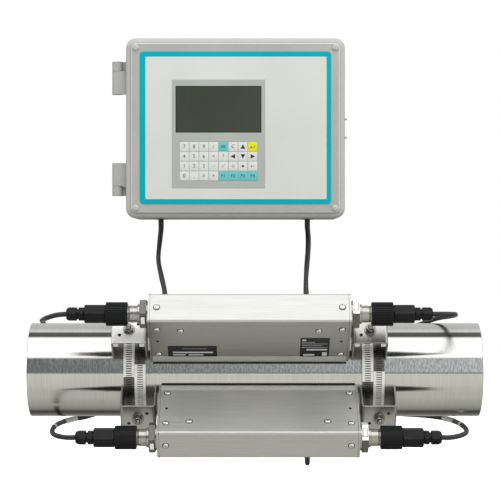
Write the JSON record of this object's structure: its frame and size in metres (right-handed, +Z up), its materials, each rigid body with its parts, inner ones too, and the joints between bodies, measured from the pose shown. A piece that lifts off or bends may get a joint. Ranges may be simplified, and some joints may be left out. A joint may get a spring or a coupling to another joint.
{
  "type": "clamp-on ultrasonic flow meter",
  "caption": "Wall-mounted flow meter with a hinged keypad door, cabled to sensor housings strapped side by side along a horizontal pipe.",
  "frame": {"origin": "a point on the pipe's axis, 0.269 m from the pipe's left end", "axes": "+X along the pipe's axis to the right as seen from the front, +Y away from the viewer towards the wall, +Z up"},
  "size_m": [0.55, 0.3645, 0.5458],
  "materials": {
    "pipe": "drawn, bright",
    "sensor_sheet": "brushed",
    "transducer": "moulded",
    "fastener": "polished",
    "bracket": "brushed",
    "strap": "satin",
    "receptacle": "turned",
    "plug": "satin",
    "coupling_ring": "satin",
    "cable": "matt",
    "enclosure": "moulded",
    "rubber": "matt",
    "circuit_board": "solder mask",
    "overlay": "printed film",
    "keypad_panel": "printed film",
    "display": "clear window",
    "key_white": "printed",
    "key_turquoise": "printed",
    "key_yellow": "printed"
  },
  "bodies": {
    "meter": {"pipe_section": "pipe", "sensor_housings": "sensor_sheet", "housing_end_caps": "sensor_sheet", "transducer_blocks": "transducer", "sensor_fasteners": "fastener", "mounting_brackets": "bracket", "band_straps": "strap", "strap_screws": "fastener", "sensor_receptacles": "receptacle", "cable_plugs": "plug", "enclosure_body": "enclosure", "entry_grommets": "rubber", "main_board": "circuit_board", "hinge_pins": "fastener", "cable_upper_left": "cable", "cable_upper_right": "cable", "cable_lower_left": "cable", "cable_lower_right": "cable"},
    "front_door": {"door": "enclosure", "door_gasket": "rubber", "front_overlay": "overlay", "keypad_panel": "keypad_panel", "display_module": "display", "door_screws": "enclosure"},
    "ring_upper_left_body": {"ring_upper_left": "coupling_ring"},
    "ring_upper_right_body": {"ring_upper_right": "coupling_ring"},
    "ring_lower_left_body": {"ring_lower_left": "coupling_ring"},
    "ring_lower_right_body": {"ring_lower_right": "coupling_ring"},
    "key_7_body": {"key_7": "key_white"},
    "key_8_body": {"key_8": "key_white"},
    "key_9_body": {"key_9": "key_white"},
    "key_divide_body": {"key_divide": "key_white"},
    "key_menu_body": {"key_menu": "key_turquoise"},
    "key_clear_body": {"key_clear": "key_white"},
    "key_up_body": {"key_up": "key_white"},
    "key_enter_body": {"key_enter": "key_yellow"},
    "key_4_body": {"key_4": "key_white"},
    "key_5_body": {"key_5": "key_white"},
    "key_6_body": {"key_6": "key_white"},
    "key_multiply_body": {"key_multiply": "key_white"},
    "key_help_body": {"key_help": "key_white"},
    "key_left_body": {"key_left": "key_white"},
    "key_down_body": {"key_down": "key_white"},
    "key_right_body": {"key_right": "key_white"},
    "key_1_body": {"key_1": "key_white"},
    "key_2_body": {"key_2": "key_white"},
    "key_3_body": {"key_3": "key_white"},
    "key_minus_body": {"key_minus": "key_white"},
    "key_root_body": {"key_root": "key_white"},
    "key_control_body": {"key_control": "key_white"},
    "key_alternate_body": {"key_alternate": "key_white"},
    "key_back_body": {"key_back": "key_white"},
    "key_0_body": {"key_0": "key_white"},
    "key_point_body": {"key_point": "key_white"},
    "key_equals_body": {"key_equals": "key_white"},
    "key_plus_body": {"key_plus": "key_white"},
    "key_f1_body": {"key_f1": "key_turquoise"},
    "key_f2_body": {"key_f2": "key_turquoise"},
    "key_f3_body": {"key_f3": "key_turquoise"},
    "key_f4_body": {"key_f4": "key_turquoise"}
  },
  "joints": [
    {"name": "door_hinge", "type": "hinge", "parent": "meter", "child": "front_door", "pos_m": [-0.17388, 0.14, 0.3065], "axis": [0, 0, -1], "range_deg": [0, 170]},
    {"name": "turn_ring_upper_left", "type": "hinge", "parent": "meter", "child": "ring_upper_left_body", "pos_m": [-0.15, -0.10736, 0.07241], "axis": [-1, 0, 0], "continuous": true},
    {"name": "turn_ring_upper_right", "type": "hinge", "parent": "meter", "child": "ring_upper_right_body", "pos_m": [0.15, -0.10736, 0.07241], "axis": [1, 0, 0], "continuous": true},
    {"name": "turn_ring_lower_left", "type": "hinge", "parent": "meter", "child": "ring_lower_left_body", "pos_m": [-0.15, -0.10736, -0.07241], "axis": [-1, 0, 0], "continuous": true},
    {"name": "turn_ring_lower_right", "type": "hinge", "parent": "meter", "child": "ring_lower_right_body", "pos_m": [0.15, -0.10736, -0.07241], "axis": [1, 0, 0], "continuous": true},
    {"name": "press_key_7", "type": "slide", "parent": "front_door", "child": "key_7_body", "axis": [0, 1, 0], "range_m": [0, 0.0005], "stiffness_N_per_m": 400},
    {"name": "press_key_8", "type": "slide", "parent": "front_door", "child": "key_8_body", "axis": [0, 1, 0], "range_m": [0, 0.0005], "stiffness_N_per_m": 400},
    {"name": "press_key_9", "type": "slide", "parent": "front_door", "child": "key_9_body", "axis": [0, 1, 0], "range_m": [0, 0.0005], "stiffness_N_per_m": 400},
    {"name": "press_key_divide", "type": "slide", "parent": "front_door", "child": "key_divide_body", "axis": [0, 1, 0], "range_m": [0, 0.0005], "stiffness_N_per_m": 400},
    {"name": "press_key_menu", "type": "slide", "parent": "front_door", "child": "key_menu_body", "axis": [0, 1, 0], "range_m": [0, 0.0005], "stiffness_N_per_m": 400},
    {"name": "press_key_clear", "type": "slide", "parent": "front_door", "child": "key_clear_body", "axis": [0, 1, 0], "range_m": [0, 0.0005], "stiffness_N_per_m": 400},
    {"name": "press_key_up", "type": "slide", "parent": "front_door", "child": "key_up_body", "axis": [0, 1, 0], "range_m": [0, 0.0005], "stiffness_N_per_m": 400},
    {"name": "press_key_enter", "type": "slide", "parent": "front_door", "child": "key_enter_body", "axis": [0, 1, 0], "range_m": [0, 0.0005], "stiffness_N_per_m": 400},
    {"name": "press_key_4", "type": "slide", "parent": "front_door", "child": "key_4_body", "axis": [0, 1, 0], "range_m": [0, 0.0005], "stiffness_N_per_m": 400},
    {"name": "press_key_5", "type": "slide", "parent": "front_door", "child": "key_5_body", "axis": [0, 1, 0], "range_m": [0, 0.0005], "stiffness_N_per_m": 400},
    {"name": "press_key_6", "type": "slide", "parent": "front_door", "child": "key_6_body", "axis": [0, 1, 0], "range_m": [0, 0.0005], "stiffness_N_per_m": 400},
    {"name": "press_key_multiply", "type": "slide", "parent": "front_door", "child": "key_multiply_body", "axis": [0, 1, 0], "range_m": [0, 0.0005], "stiffness_N_per_m": 400},
    {"name": "press_key_help", "type": "slide", "parent": "front_door", "child": "key_help_body", "axis": [0, 1, 0], "range_m": [0, 0.0005], "stiffness_N_per_m": 400},
    {"name": "press_key_left", "type": "slide", "parent": "front_door", "child": "key_left_body", "axis": [0, 1, 0], "range_m": [0, 0.0005], "stiffness_N_per_m": 400},
    {"name": "press_key_down", "type": "slide", "parent": "front_door", "child": "key_down_body", "axis": [0, 1, 0], "range_m": [0, 0.0005], "stiffness_N_per_m": 400},
    {"name": "press_key_right", "type": "slide", "parent": "front_door", "child": "key_right_body", "axis": [0, 1, 0], "range_m": [0, 0.0005], "stiffness_N_per_m": 400},
    {"name": "press_key_1", "type": "slide", "parent": "front_door", "child": "key_1_body", "axis": [0, 1, 0], "range_m": [0, 0.0005], "stiffness_N_per_m": 400},
    {"name": "press_key_2", "type": "slide", "parent": "front_door", "child": "key_2_body", "axis": [0, 1, 0], "range_m": [0, 0.0005], "stiffness_N_per_m": 400},
    {"name": "press_key_3", "type": "slide", "parent": "front_door", "child": "key_3_body", "axis": [0, 1, 0], "range_m": [0, 0.0005], "stiffness_N_per_m": 400},
    {"name": "press_key_minus", "type": "slide", "parent": "front_door", "child": "key_minus_body", "axis": [0, 1, 0], "range_m": [0, 0.0005], "stiffness_N_per_m": 400},
    {"name": "press_key_root", "type": "slide", "parent": "front_door", "child": "key_root_body", "axis": [0, 1, 0], "range_m": [0, 0.0005], "stiffness_N_per_m": 400},
    {"name": "press_key_control", "type": "slide", "parent": "front_door", "child": "key_control_body", "axis": [0, 1, 0], "range_m": [0, 0.0005], "stiffness_N_per_m": 400},
    {"name": "press_key_alternate", "type": "slide", "parent": "front_door", "child": "key_alternate_body", "axis": [0, 1, 0], "range_m": [0, 0.0005], "stiffness_N_per_m": 400},
    {"name": "press_key_back", "type": "slide", "parent": "front_door", "child": "key_back_body", "axis": [0, 1, 0], "range_m": [0, 0.0005], "stiffness_N_per_m": 400},
    {"name": "press_key_0", "type": "slide", "parent": "front_door", "child": "key_0_body", "axis": [0, 1, 0], "range_m": [0, 0.0005], "stiffness_N_per_m": 400},
    {"name": "press_key_point", "type": "slide", "parent": "front_door", "child": "key_point_body", "axis": [0, 1, 0], "range_m": [0, 0.0005], "stiffness_N_per_m": 400},
    {"name": "press_key_equals", "type": "slide", "parent": "front_door", "child": "key_equals_body", "axis": [0, 1, 0], "range_m": [0, 0.0005], "stiffness_N_per_m": 400},
    {"name": "press_key_plus", "type": "slide", "parent": "front_door", "child": "key_plus_body", "axis": [0, 1, 0], "range_m": [0, 0.0005], "stiffness_N_per_m": 400},
    {"name": "press_key_f1", "type": "slide", "parent": "front_door", "child": "key_f1_body", "axis": [0, 1, 0], "range_m": [0, 0.0005], "stiffness_N_per_m": 400},
    {"name": "press_key_f2", "type": "slide", "parent": "front_door", "child": "key_f2_body", "axis": [0, 1, 0], "range_m": [0, 0.0005], "stiffness_N_per_m": 400},
    {"name": "press_key_f3", "type": "slide", "parent": "front_door", "child": "key_f3_body", "axis": [0, 1, 0], "range_m": [0, 0.0005], "stiffness_N_per_m": 400},
    {"name": "press_key_f4", "type": "slide", "parent": "front_door", "child": "key_f4_body", "axis": [0, 1, 0], "range_m": [0, 0.0005], "stiffness_N_per_m": 400}
  ]
}
